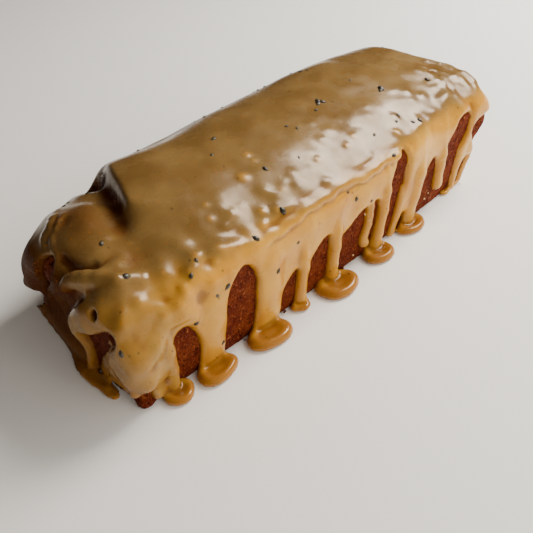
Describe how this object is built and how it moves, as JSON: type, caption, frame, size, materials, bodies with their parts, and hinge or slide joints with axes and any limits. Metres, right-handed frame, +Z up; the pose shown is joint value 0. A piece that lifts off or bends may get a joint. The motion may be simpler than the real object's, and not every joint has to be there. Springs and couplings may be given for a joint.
{
  "type": "iced loaf cake",
  "caption": "Long uncut chocolate loaf cake under a poured tan icing that runs down its sides in drips and puddles, leaving bare sponge between them.",
  "frame": {"origin": "middle of the base of the whole cake's box, on the plane that it stands on", "axes": "+X along the loaf, away from its sunken end; -Y the front side; +Z up"},
  "size_m": [0.3386, 0.1638, 0.0922],
  "materials": {
    "sponge": "open-pored dark chocolate sponge, dull",
    "icing": "set tan halva icing, glossy and softly uneven, with dark specks"
  },
  "bodies": {
    "root": {"loaf": "sponge", "icing": "icing"}
  },
  "joints": []
}
